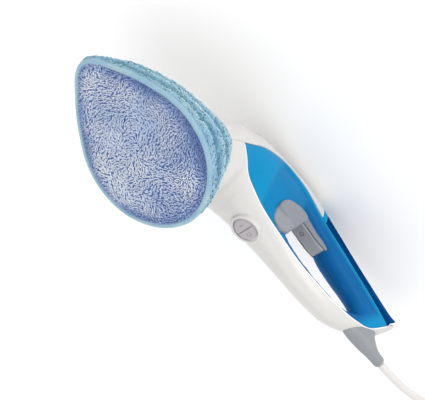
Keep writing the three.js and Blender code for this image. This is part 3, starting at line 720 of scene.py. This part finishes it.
# stretches of the leaf's edge, each facing a stretch of the hole's
FACING = [
    (line_of(leaf_back, 236, 300), pick(0, 4), 30),
    (line_of(leaf_back, 300, LEAF_END[0] - 0.01), pick(4, 7), 26),
    (line_of(leaf_front, LEAF_END[0] - 0.01, 322), pick(7, 9), 22),
    (line_of(leaf_front, 322, 236), pick(9, 12), 34),
    (line_of(leaf_front, 236, LEAF_TIP[0] + 0.01), pick(12, 13), 40),
    (line_of(leaf_back, LEAF_TIP[0] + 0.01, 236), pick(13, 0), 46),
]
PANEL_INSET = 0.6
RIM_GAP = 0.55
DISH_DEPTH = 2.4
ACROSS = 34
FOLDED = 2  # rows turned down behind the leaf's edge
INTO_HOLE = 4  # rows that run on to the middle plane inside the hole


def panel_columns():
    columns = []
    for leaf_part, hole_part, count in FACING:
        leaf_side, hole_side = resample(leaf_part, count), resample(hole_part, count)
        columns += list(zip(leaf_side[:-1], hole_side[:-1]))
    return columns


def grip_radius(x, z):
    """Rounding of the hole's rim: larger on the grip than on the front leg."""
    middle = 27 + (x - 240) * 0.14
    return 2.4 + 9.6 * (1 - ease(middle, middle + 14, z))


def panel_rows():
    """Near-side rows from the leaf's edge to the hole's middle plane, and how much painted shade
    each point gets: more where it is dished, towards the grip's end and inside the hole.
    """
    columns = panel_columns()
    rows, grip_shade_rows = [], []
    for i in range(-FOLDED, ACROSS + INTO_HOLE + 1):
        row, depth = [], []
        for leaf_p, hole_p in columns:
            reach = max((hole_p - leaf_p).length, 1e-6)
            t = min(max(i, 0) / ACROSS, 1.0)
            t = 1 - (1 - t) ** 1.25
            inward = min(RIM_GAP / reach, 0.3)
            p = leaf_p.lerp(hole_p, inward + (1 - inward) * t)
            radius = min(grip_radius(hole_p.x, hole_p.y), side(hole_p.x, hole_p.y, PANEL_INSET) - 1)
            away = min(from_hole(p.x, p.y), radius) if i <= ACROSS else 0.0
            if t >= 1:
                away = 0.0
            sunk = dish(p.x, p.y)
            y = side(p.x, p.y, PANEL_INSET) - DISH_DEPTH * sunk
            y -= radius - sqrt(max(0.0, radius ** 2 - (radius - away) ** 2))
            if i < 0:
                y += 1.2 * i
            if i > ACROSS:
                y *= 1 - (i - ACROSS) / INTO_HOLE
                y = max(y, 0.15)
            row.append(at(p.x, y, p.y))
            # the painted shade is weaker by the neck and strongest towards the grip's end
            shade_towards_grip = 0.35 + 0.65 * ease(200, 265, p.x)
            depth.append((sunk if i <= ACROSS else 1.0) * shade_towards_grip)
        rows.append(row)
        grip_shade_rows.append(depth)
    return rows, grip_shade_rows


def grip_panel(name, node, mirrored):
    """One blue leaf, from its edge through the finger hole to the middle plane."""
    rows, grip_shade_rows = panel_rows()
    faces = grid_faces(len(rows), len(rows[0]), closed=True)
    points = [p for row in rows for p in row]
    if mirrored:
        points = [Vector((p.x, -p.y, p.z)) for p in points]
    # these values set the painted shade on the blue
    values = {"depth": [d for row in grip_shade_rows for d in row]}
    obj = piece(name, points, faces, blue, values=values, sharp=50)
    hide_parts(node)
    return obj


grip_panel("left_panel_shell", "left_grip_panel", False)
grip_panel("right_panel_shell", "right_grip_panel", True)

# ---- water tank, collar and door ----
collar_stations = spread(TANK_START + GAP, COLLAR_END - GAP, 6)
tank_stations = spread(COLLAR_END + GAP, DOOR_START - GAP, 40)
rim_stations = spread(DOOR_START - GAP, TANK_END, 20)
recess_stations = spread(DOOR_START - GAP - 1, TANK_END, 20)
door_stations = spread(DOOR_START, DOOR_END, 26)
DOOR_DROP = 5.0
RECESS_INSET = 2.5


def below(line_drop, inset=0.0):
    """The angle a given drop below the tank's top line, as a function of x."""
    return lambda x: angle_at(x, tank_line(x) - line_drop, inset)


collar = shell("collar_shell", collar_stations, from_bottom, below(GAP), 36, cyan, 2.0)
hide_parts("tank_collar")
tank = shell("tank_shell", tank_stations, from_bottom, below(GAP), 36, navy, 1.8)
strip = shell("tank_rim", rim_stations, below(DOOR_DROP - GAP), below(GAP), 6, navy, 1.8)
recess = shell("tank_recess", recess_stations, from_bottom,
               below(DOOR_DROP - 1, RECESS_INSET), 20, navy, 1.5, RECESS_INSET)
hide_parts("water_tank")
door = shell("door_shell", door_stations, from_bottom, below(DOOR_DROP), 30,
             door_blue, 2.2, body="door")
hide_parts("filler_door")

# ---- hood, bezel and trigger ----
hood_left = smooth([
    (21.5, 230), (24.8, 222), (29.5, 213), (36, 208.4), (44, 207.8), (50, 208.8), (54.5, 212),
    (58, 221),
])
hood_right = smooth([
    (21.5, 236.5), (25, 238), (34, 235.4), (43, 233), (50, 230.4), (55.5, 228), (58, 223),
])
HOOD_PROUD = 0.8
CREASE_Z, CREASE_Y, CREASE_SLOPE = 44.5, 22.6, 0.42


def hood_side(x, z):
    """How far out the hood is: just proud of the leaf, and sloping in above the crease."""
    proud = side(x, z) + HOOD_PROUD
    slope = CREASE_Y - (z - CREASE_Z) * CREASE_SLOPE
    return min(proud, slope) if z > CREASE_Z else proud


def hood_ring(z, shrink):
    """The hood's outline at a height, with rounded upright corners."""
    x0, x1 = hood_left(z) + shrink, hood_right(z) - shrink
    corner = min(2.2, (x1 - x0) * 0.45)
    near = []
    for k in range(7):
        a = pi / 2 * k / 6
        x = x1 - corner + corner * cos(a)
        near.append((x, hood_side(x1 - corner, z) - shrink - corner + corner * sin(a)))
    for x in spread(x1 - corner, x0 + corner, 12)[1:-1]:
        near.append((x, hood_side(x, z) - shrink))
    for k in range(7):
        a = pi / 2 * (1 + k / 6)
        x = x0 + corner + corner * cos(a)
        near.append((x, hood_side(x0 + corner, z) - shrink - corner + corner * sin(a)))
    return [at(x, y, z) for x, y in near] + [at(x, -y, z) for x, y in reversed(near)]


hood_heights = [21.5, 21.9, 22.8, 24.4] + spread(26, 44.2, 14)
hood_heights += [44.5, 45.4] + spread(46.5, 55, 8) + [56.6, 57.4, 57.8]
hood_rings = [
    hood_ring(z, 1.4 * (1 - ease(21.3, 24, z)) + 1.6 * ease(55.4, 57.9, z)) for z in hood_heights
]
hood = ring_loft("hood_shell", hood_rings, light_grey, sharp=24)
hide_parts("trigger_hood")

bezel_top = smooth([(233.5, 15.6), (241, 16.4), (269, 20.4), (273, 20), (275.4, 17)])


def bezel_ring(x0, x1, half, depth, corner=2.5):
    """A rounded frame round the trigger, following the bezel's top line."""
    out = []
    for cx, cy, start in ((x1 - corner, half - corner, 0), (x0 + corner, half - corner, 90),
                          (x0 + corner, corner - half, 180), (x1 - corner, corner - half, 270)):
        for k in range(6):
            a = radians(start + 18 * k)
            out.append((cx + corner * cos(a), cy + corner * sin(a)))
    dense = []
    for a, b in zip(out, out[1:] + out[:1]):
        steps = max(1, ceil(hypot(b[0] - a[0], b[1] - a[1]) / 3))
        dense += [
            (a[0] + (b[0] - a[0]) * k / steps, a[1] + (b[1] - a[1]) * k / steps)
            for k in range(steps)
        ]
    return [at(x, y, bezel_top(x) - depth) for x, y in dense]


def matched(ring, count=110):
    """A ring with evenly spaced points, so that rings of any size can be joined."""
    closed = resample(ring + ring[:1], count)
    return closed[:-1]


BEZEL = [
    # start x, end x, half width, depth below the top line
    (234, 275.2, 8.9, 9), (234, 275.2, 8.9, 1.2), (234.4, 274.8, 8.6, 0.3), (235, 274.3, 8.1, 0),
    (237.4, 274.0, 7.9, 0), (237.9, 273.7, 7.7, 0.3), (238.2, 273.4, 7.5, 1.0),
    (238.2, 273.4, 7.5, 9),
]
bezel_rings = [matched(bezel_ring(*row)) for row in BEZEL]
bezel = ring_loft("trigger_bezel", bezel_rings, light_grey, capped=False)

TRIGGER_SIDE = [
    (239, 17), (242, 17.9), (255, 20), (268, 22.2), (271.6, 21.6), (272.6, 18.5),
    (272.2, 12.6), (264, 11), (262, 9), (254, 9), (252, 10.4), (239.8, 8.6), (238.9, 12),
]
TRIGGER_HALF = 7.1
trigger = slab(
    "trigger_key", TRIGGER_SIDE, dark_grey, -TRIGGER_HALF, TRIGGER_HALF, "trigger", 1.6
)
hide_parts("trigger")
drop = [(-3.2, 0), (0.4, 2.2), (2.4, 1.2), (2.4, -1.2), (0.4, -2.2)]
mark_line = [at(248.5 + u, v, 19.0 + 0.165 * u) for u, v in drop]
mark = wire("trigger_mark", mark_line, 0.22, dark_ink, "trigger", closed=True)

# ---- power rocker ----
ring = turned("rocker_ring", [
    (10.5, 62), (10.5, 70.6), (10.7, 71.05), (11.2, 71.3), (11.9, 71.2), (12.5, 70.7),
    (12.8, 70), (12.8, 62),
], ROCKER_X, ring_white, oval=ROCKER_OVAL)
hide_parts("rocker_bezel")


ROCKER_SIDES = 64
ROCKER_FOOT_Z = 66.4


def rocker_profile():
    """An oval key in two halves that dip to a line across the middle."""
    rows = []
    for r in (0.001, 0.25, 0.6, 1.5, 3, 4.5, 6, 7.5, 8.8, 9.5, 9.85, ROCKER_RADIUS):
        row = []
        for k in range(ROCKER_SIDES):
            a = 2 * pi * (k + 0.5) / ROCKER_SIDES
            x, y = ROCKER_OVAL * r * cos(a), r * sin(a)
            crown = 71.1 - 0.5 * (r / ROCKER_RADIUS) ** 2 - 0.9 * ease(8.8, ROCKER_RADIUS, r)
            groove = 0.55 * (1 - ease(0.15, 0.5, abs(x)))
            row.append(at(ROCKER_X + x, y, crown - groove))
        rows.append(row)
    rows.append([Vector((p.x, p.y, at(0, 0, ROCKER_FOOT_Z).z)) for p in rows[-1]])
    return rows


rocker_rows = rocker_profile()
rocker = piece("rocker_key", [p for row in rocker_rows for p in row],
               grid_faces(len(rocker_rows), ROCKER_SIDES, closed=True), rocker_grey, "rocker")
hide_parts("power_rocker")
MARK_OUT, MARK_Z = 5, 70.95
split_line = [at(ROCKER_X, y, MARK_Z - 0.4 * (y / 9) ** 2) for y in spread(-9, 9, 6)]
split = wire("rocker_split", split_line, 0.3, ink, "rocker")
stroke_line = [at(ROCKER_X - MARK_OUT, y, MARK_Z) for y in (-2.2, -0.7, 0.7, 2.2)]
stroke = wire("rocker_on_mark", stroke_line, 0.25, ink, "rocker")
circle_line = [
    at(ROCKER_X + MARK_OUT + 1.7 * cos(a), 2.3 * sin(a), 70.9) for a in spread(0, 2 * pi, 12)[:-1]
]
circle = wire("rocker_off_mark", circle_line, 0.25, ink, "rocker", closed=True)

# ---- strain relief ----
BOOT = [
    # centre x, centre z, half height, half width, lean
    (338, 49.2, 22.3, 7.5, 0.87), (340, 50.6, 21, 8, 0.85), (343.5, 53.2, 17.8, 8.5, 0.8),
    (349, 55.6, 13, 8.4, 0.66), (355, 57.4, 9.2, 7.6, 0.46), (361, 58.9, 6.6, 6.2, 0.26),
    (367, 60, 5.4, 5.3, 0.12), (372.4, 60.6, 5.0, 5.0, 0.06), (373.3, 60.7, 4.6, 4.6, 0.05),
    (373.7, 60.75, 3.7, 3.7, 0.05),
]


def boot_rings():
    """Ovals that lean less and less towards the cord."""
    columns = [smooth([(row[0], row[i]) for row in BOOT]) for i in range(1, 5)]
    rings = []
    for x in spread(338, 372.4, 30) + [372.8, 373.1, 373.3, 373.6, 373.7]:
        z, high, wide, lean = (f(x) for f in columns)
        rings.append([
            at(x - high * sin(a) * sin(lean), wide * cos(a), z + high * sin(a) * cos(lean))
            for a in spread(0, 2 * pi, 56)[:-1]
        ])
    return rings


boot = ring_loft("boot_shell", boot_rings(), boot_grey, capped=False)
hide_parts("strain_relief")

# ---- terry bonnet, in the head's own axes: X from tip to heel, Z out of the steam plate ----
OUTLINE = [
    (0, 0), (5, 13), (18.6, 26.2), (34, 39), (50, 49.2), (65, 57), (81, 61.4), (96.5, 61.8),
    (112, 59), (128, 51.3), (143, 37.4), (153, 20), (157, 0),
]
HEM = [
    (4, 0, -11), (13, 16, -13.5), (30, 34, -18.5), (60, 49, -27), (95, 54.5, -36),
    (116, 52.5, -41.5), (128, 45, -40.5), (140, 30, -27.7), (146.4, 15, -19.4),
    (149.5, 0, -15.5),
]
AROUND = 360
head_turn = Matrix.Rotation(-HEAD_TILT, 3, "Y")


def from_head(x, y, z):
    return at(HEAD_TIP[0], 0, HEAD_TIP[1]) + head_turn @ Vector((x, y, z)) * MM


def whole_outline(half, count):
    """Evenly spaced points round an outline given by its near half."""
    points = [Vector((*p, 0)) if len(p) == 2 else Vector(p) for p in half]
    mirrored = [Vector((p.x, -p.y, p.z)) for p in reversed(points[1:-1])]
    dense = closed_spline(points + mirrored, 24)
    return resample(dense + dense[:1], count)[:-1]


edge = whole_outline(OUTLINE, AROUND)
inwards = []
for k in range(AROUND):
    tangent = (edge[(k + 1) % AROUND] - edge[k - 1]).normalized()
    inwards.append(Vector((tangent.y, -tangent.x, 0)))
FACE_MIDDLE = Vector((82, 0, 0))


def fold_noise(p, size, seed=0.0):
    return noise.noise(Vector((p.x / size, p.y / size, p.z / size + seed)))


# the face: rings from just inside the binding to the middle
FACE_RINGS = 40


def face_point(k, t):
    """A point of the face's ground: t is 0 at the binding and 1 at the middle."""
    rim = edge[k % AROUND] + inwards[k % AROUND] * 3.9
    p = rim.lerp(FACE_MIDDLE, t)
    crown = 1.2 * ease(0, 0.12, t) + 0.8 * ease(0.1, 1, t)
    quilt = 0.5 * fold_noise(p, 26) * ease(0, 0.2, t)
    return Vector((p.x, p.y, -1.9 + crown + quilt))


FACE_END = 0.985
face_rows = [
    [face_point(k, t) for k in range(0, AROUND, 3)] for t in spread(0, FACE_END, FACE_RINGS)
]
face_points = [from_head(*p) for row in face_rows for p in row]
# the ground under the loops takes the dark end of the colour scale: painted shade between the loops
face = piece("bonnet_face_cloth", face_points,
             grid_faces(len(face_rows), AROUND // 3, closed=True), face_cloth,
             values={"painted_light_and_shade": [0.1] * len(face_points), "speck": [0.0] * len(face_points)})
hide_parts("bonnet_face")


def loops(name, roots, lifts, leans, tones, material, size, seed, speck_share=0.0):
    """Terry loops of a size (height, width, yarn radius): a small arch on each root."""
    high, wide, thick = size
    draw = random.Random(seed)
    arch = 5
    corners = 3
    points, faces, painted_tones, specks = [], [], [], []
    for root, lift, lean, tone in zip(roots, lifts, leans, tones):
        tall = high * draw.uniform(0.65, 1.25)
        half = wide * draw.uniform(0.75, 1.2) / 2
        turn = Matrix.Rotation(draw.gauss(0, 0.3), 3, lift)
        forward = (turn @ lean).normalized()
        sideways = lift.cross(forward).normalized()
        tip_over = draw.uniform(-0.5, 0.5) * tall
        speck = 1.0 if draw.random() < speck_share else 0.0
        start = len(points)
        for i in range(arch):
            a = pi * i / (arch - 1)
            middle = (
                root - forward * (half * cos(a)) + lift * (tall * sin(a) - 0.15)
                + sideways * (tip_over * sin(a))
            )
            outer_dir = (lift * sin(a) - forward * cos(a)).normalized()
            for c in range(corners):
                b = 2 * pi * c / corners
                points.append(middle + outer_dir * (thick * cos(b)) + sideways * (thick * sin(b)))
                # each loop pales towards its top: painted highlight at the tip, painted shade at
                # the root
                painted_tones.append(tone * (0.15 + 0.75 * sin(a) * draw.uniform(0.7, 1.25)))
                specks.append(speck)
        for i in range(arch - 1):
            for c in range(corners):
                d = (c + 1) % corners
                p, q = start + i * corners, start + (i + 1) * corners
                faces.append((p + c, p + d, q + d, q + c))
    mesh = bpy.data.meshes.new(name)
    mesh.from_pydata([tuple(from_head(*p)) for p in points], [], faces)
    mesh.attributes.new("painted_light_and_shade", "FLOAT", "POINT").data.foreach_set("value", painted_tones)
    mesh.attributes.new("speck", "FLOAT", "POINT").data.foreach_set("value", specks)
    mesh.shade_smooth()
    mesh.materials.append(material)
    obj = bpy.data.objects.new(name, mesh)
    bpy.context.collection.objects.link(obj)
    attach(obj, "handset")
    return obj


def face_loops():
    """Loops in short curved rows that follow the egg's outline."""
    draw = random.Random(5)
    roots, leans, tones = [], [], []
    spacing, row_gap = 2.3, 1.45
    edge_length = sum((edge[(k + 1) % AROUND] - edge[k]).length for k in range(AROUND))
    reach = 66.0
    rows = int(reach / row_gap)
    for i in range(rows):
        t = 0.004 + i / rows
        count = max(6, int(edge_length * (1 - t) / spacing))
        for j in range(count):
            k = (j + draw.uniform(-0.35, 0.35) + 0.5 * (i % 2)) / count * AROUND
            tt = min(max(t + draw.uniform(-0.35, 0.35) / rows, 0), FACE_END)
            k0 = int(k) % AROUND
            p = face_point(k0, tt).lerp(face_point(k0 + 1, tt), k - int(k))
            swirl = fold_noise(p, 24, 7.0) * 3.2 + 1.2
            out = (p - FACE_MIDDLE)
            out.z = 0
            out = out.normalized() if out.length > 0.1 else Vector((1, 0, 0))
            roots.append(p)
            leans.append(Matrix.Rotation(swirl, 3, "Z") @ out)
            patch = 0.4 * fold_noise(p, 30, 3.0) - 0.22 * ease(8, 46, p.y)
            # darker close to the binding: painted shadow under its edge; the patch adds random
            # drift and darkens towards larger y
            tones.append(0.66 + 0.5 * ease(0, 0.2, tt) + patch)
    lifts = [Vector((0, 0, 1))] * len(roots)
    return loops("bonnet_face_loops", roots, lifts, leans, tones, face_cloth,
                 (1.5, 2.5, 0.52), 11)


face_pile = face_loops()

# the binding: a ribbed roll of tape sewn round the face
RIBS = 260
TAPE_SIDES = 12


def binding():
    """A tube round the face's edge, ribbed across."""
    rows, painted_tones = [], []
    count = AROUND * 2
    fine = whole_outline(OUTLINE, count)
    for k in range(count):
        tangent = (fine[(k + 1) % count] - fine[k - 1]).normalized()
        inward = Vector((tangent.y, -tangent.x, 0))
        rib = 0.5 + 0.5 * cos(2 * pi * RIBS * k / count)
        row = []
        for j in range(TAPE_SIDES):
            a = 2 * pi * j / TAPE_SIDES
            r = 2.2 + 0.16 * rib
            rise = Vector((0, 0, -2.6 + r * 1.12 * sin(a)))
            row.append(fine[k] + inward * (2.15 - r * 0.95 * cos(a)) + rise)
            # paler on each rib's crest and on the tube's upper side, darker between ribs: painted
            # light and shade
            painted_tones.append(0.25 + 0.55 * rib + 0.1 * sin(a))
        rows.append(row)
    rows.append(rows[0])
    painted_tones += painted_tones[:TAPE_SIDES]
    return piece("bonnet_binding_tape", [from_head(*p) for row in rows for p in row],
                 grid_faces(len(rows), TAPE_SIDES, closed=True), ribbed,
                 values={"painted_light_and_shade": painted_tones, "speck": [0.0] * len(painted_tones)}, sharp=80)


tape = binding()
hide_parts("bonnet_binding")

# the skirt: gathered down over the head, with soft folds along it
hem = whole_outline(HEM, AROUND)
SKIRT_ROWS = 34
SKIRT_MIDDLE_X = 78
FOLD_DEPTH = 1.35
PUCKERS = 46


def noise_round(k, size, seed):
    """Smooth noise that closes on itself round the skirt."""
    angle = 2 * pi * k / AROUND
    return noise.noise(Vector((cos(angle) * size, sin(angle) * size, seed)))


def fold_wave(k, t):
    """The skirt's soft folds, which run along its edge: 1 on a crest and -1 in a crease."""
    drift = 0.35 * noise_round(k, 2, 1)
    return sin(2 * pi * (2.6 * t + drift))


def skirt_point(k, t, lift=0.0):
    """t runs from 0 under the binding to 1 at the hem."""
    k = k % AROUND
    top = edge[k] + inwards[k] * 1.2 + Vector((0, 0, -4.8))
    p = top.lerp(hem[k], t)
    out = Vector((p.x - SKIRT_MIDDLE_X, p.y * 1.25, 0)).normalized()
    belly = 2.4 * sin(pi * min(t, 1.0))
    fold = FOLD_DEPTH * fold_wave(k, t)
    fold *= ease(0.02, 0.2, t) * (1 - 0.5 * ease(0.85, 1, t))
    angle = 2 * pi * k / AROUND
    pucker = 0.5 * sin(angle * PUCKERS + 2 * noise_round(k, 3, 4)) * ease(0.7, 1, t)
    return p + out * (belly + fold + pucker + lift)


skirt_grid = [(k, t) for t in spread(0, 1, SKIRT_ROWS) for k in range(AROUND)]
# the cloth is paler on its fold crests and darker in the creases: painted light and shade
skirt = piece("bonnet_skirt_cloth", [from_head(*skirt_point(k, t)) for k, t in skirt_grid],
              grid_faces(SKIRT_ROWS + 1, AROUND, closed=True), skirt_cloth,
              values={"painted_light_and_shade": [0.3 + 0.15 * fold_wave(k, t) for k, t in skirt_grid],
                      "speck": [0.0] * len(skirt_grid)})
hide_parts("bonnet_skirt")


def skirt_loops():
    """Short loops scattered evenly over the skirt, standing off its folds."""
    draw = random.Random(9)
    roots, lifts, leans, tones = [], [], [], []
    area_each = 1.7
    for k in range(AROUND):
        low, top = skirt_point(k, 1), skirt_point(k, 0)
        reach = (low - top).length
        step = (skirt_point(k + 1, 0.5) - skirt_point(k, 0.5)).length
        for _ in range(max(1, round(reach * step / area_each))):
            kk = k + draw.random()
            t = draw.random() ** 0.97
            a, b = skirt_point(int(kk), t), skirt_point(int(kk) + 1, t)
            p = a.lerp(b, kk - int(kk))
            down = (skirt_point(int(kk), min(t + 0.03, 1.03)) - a).normalized()
            round_it = (b - a).normalized()
            lift = round_it.cross(down)
            if lift.dot(Vector((p.x - SKIRT_MIDDLE_X, p.y, 0))) < 0:
                lift.negate()
            roots.append(p)
            lifts.append(lift.normalized())
            leans.append(round_it)
            # loops on fold crests are paler and loops in creases darker: painted light and shade
            tones.append(0.8 + 0.45 * fold_wave(kk, t))
    return loops("bonnet_skirt_loops", roots, lifts, leans, tones, skirt_cloth,
                 (0.8, 1.35, 0.32), 13, speck_share=0.12)


skirt_pile = skirt_loops()
hem_line = [from_head(*skirt_point(k, 0.985, 0.3)) for k in range(0, AROUND, 4)]
hem_cord = wire("bonnet_hem_cord", hem_line, 1.0, ribbed, closed=True)

# ---- the CAD pieces that show as they are ----
FINISHES = {
    aluminium: ["sole_plate", "boiler_casting", "boiler_lid", "heat_shield"],
    steel: ["heating_element", "dosing_nozzle", "trigger_pin", "filler_hinge_pin", "pump_spring",
            "panel_screw_1", "panel_screw_2", "panel_screw_3", "plug_pin_1", "plug_pin_2"],
    dark_grey: ["sole_frame", "cord_clamp"],
    light_grey: ["pump_piston"],
    rubber: ["steam_gasket", "filler_plug"],
    ceramic: ["thermostat", "thermal_fuse", "pump_cylinder", "suction_tube", "feed_tube",
              "terminal_block", "switch_body"],
    copper: ["live_wire", "neutral_wire", "heater_wire"],
    cord_white: ["cord_lead_in"],
}
for material, names in FINISHES.items():
    for name in names:
        nodes[name].data.materials.clear()
        nodes[name].data.materials.append(material)

# ---- floor, lights and surroundings ----
floor_mesh = bpy.data.meshes.new("floor")
REACH = 6.0
floor_corners = [(-REACH, -REACH, 0), (REACH, -REACH, 0), (REACH, REACH, 0), (-REACH, REACH, 0)]
floor_mesh.from_pydata(floor_corners, [], [(0, 1, 2, 3)])
floor = bpy.data.objects.new("floor", floor_mesh)
floor.location.z = -0.0005
paper = Nodes("pale_floor")
paper.link(paper.ramp(paper.noise(3, 2), [(0.3, (0.94, 0.94, 0.94)), (0.7, (0.96, 0.96, 0.96))]),
           paper.shader.inputs["Base Color"])
floor_mesh.materials.append(paper.set(Roughness=0.7).material)
bpy.context.collection.objects.link(floor)


def area_light(name, place, aim, size, watts):
    light = bpy.data.lights.new(name, "AREA")
    light.shape = "DISK"
    light.size = size
    light.energy = watts
    obj = bpy.data.objects.new(name, light)
    obj.location = place
    obj.rotation_mode = "QUATERNION"
    obj.rotation_quaternion = (Vector(aim) - Vector(place)).to_track_quat("-Z", "Y")
    bpy.context.collection.objects.link(obj)


MIDDLE = (0, 0, 0.06)
area_light("key", (0.25, 1.7, 0.25), MIDDLE, 1.0, 12)
area_light("top", (-0.1, 0.1, 1.9), MIDDLE, 1.8, 7)
area_light("rim", (0.6, -1.4, 0.8), MIDDLE, 0.9, 1.5)
world = bpy.data.worlds.new("surroundings")
world.use_nodes = True
world.node_tree.nodes["Background"].inputs["Color"].default_value = (1, 1, 1, 1)
world.node_tree.nodes["Background"].inputs["Strength"].default_value = 0.95
bpy.context.scene.world = world
bpy.context.scene.view_settings.view_transform = "Standard"
